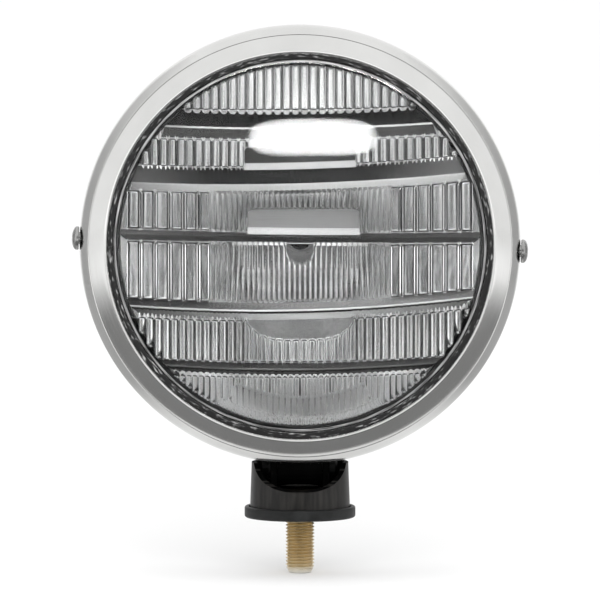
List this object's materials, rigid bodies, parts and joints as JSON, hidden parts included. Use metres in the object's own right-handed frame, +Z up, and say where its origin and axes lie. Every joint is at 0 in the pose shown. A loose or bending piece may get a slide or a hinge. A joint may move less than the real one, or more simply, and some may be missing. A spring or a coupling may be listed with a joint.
{
  "type": "fog light",
  "caption": "Round fog light with a polished rim, fluted glass and horizontal louvers, tilting and swivelling on a threaded stud mount.",
  "frame": {"origin": "where the stud's axis meets the flat underside of the mounting pad", "axes": "+Z up along the stud's axis, the lamp's front faces -Y, +X is to the right of someone facing the lamp"},
  "size_m": [0.1758, 0.096, 0.2145],
  "materials": {
    "stainless": "polished stainless steel",
    "housing_steel": "satin stainless steel",
    "lens_glass": "clear moulded glass, fluted inside",
    "bulb_glass": "clear quartz",
    "black_rubber": "matt",
    "pad_rubber": "matt moulded",
    "louver_metal": "polished",
    "reflector_coating": "vacuum-coated mirror finish",
    "spring_steel": "spring steel",
    "zinc_steel": "zinc plated",
    "screw_chrome": "bright plated",
    "tungsten": "drawn wire",
    "terminal_brass": "stamped",
    "black_paint": "black satin",
    "black_cup": "black satin",
    "yellow_zinc": "yellow zinc plated"
  },
  "bodies": {
    "base": {"mount_pad": "pad_rubber", "mount_stud": "yellow_zinc", "stud_washer": "yellow_zinc"},
    "swivel": {"mount_cup": "black_cup", "pivot_yoke": "black_paint", "pivot_bolt": "zinc_steel", "pivot_nut": "zinc_steel", "pivot_washer": "spring_steel"},
    "lamp": {"rim": "stainless", "lens": "lens_glass", "lens_seal": "black_rubber", "louver_frame": "louver_metal", "louver_1": "louver_metal", "louver_2": "louver_metal", "louver_3": "louver_metal", "louver_4": "louver_metal", "louver_5": "louver_metal", "reflector": "reflector_coating", "reflector_clip_1": "spring_steel", "reflector_clip_2": "spring_steel", "reflector_clip_3": "spring_steel", "reflector_clip_4": "spring_steel", "bulb_holder": "zinc_steel", "bulb_base": "zinc_steel", "bulb_capsule": "bulb_glass", "bulb_filament": "tungsten", "bulb_clip": "spring_steel", "bulb_terminal": "terminal_brass", "housing": "housing_steel", "cable_grommet": "black_rubber", "side_screw_left": "screw_chrome", "side_screw_right": "screw_chrome", "side_nut_left": "zinc_steel", "side_nut_right": "zinc_steel", "backing_plate": "zinc_steel", "bracket_screw_left": "zinc_steel", "bracket_screw_right": "zinc_steel", "tilt_knuckle": "black_paint"}
  },
  "joints": [
    {"name": "swivel", "type": "hinge", "parent": "base", "child": "swivel", "pos_m": [0, 0, 0.005], "axis": [0, 0, 1], "continuous": true},
    {"name": "tilt", "type": "hinge", "parent": "swivel", "child": "lamp", "pos_m": [0, 0, 0.0195], "axis": [1, 0, 0], "range_deg": [-15, 15]}
  ]
}
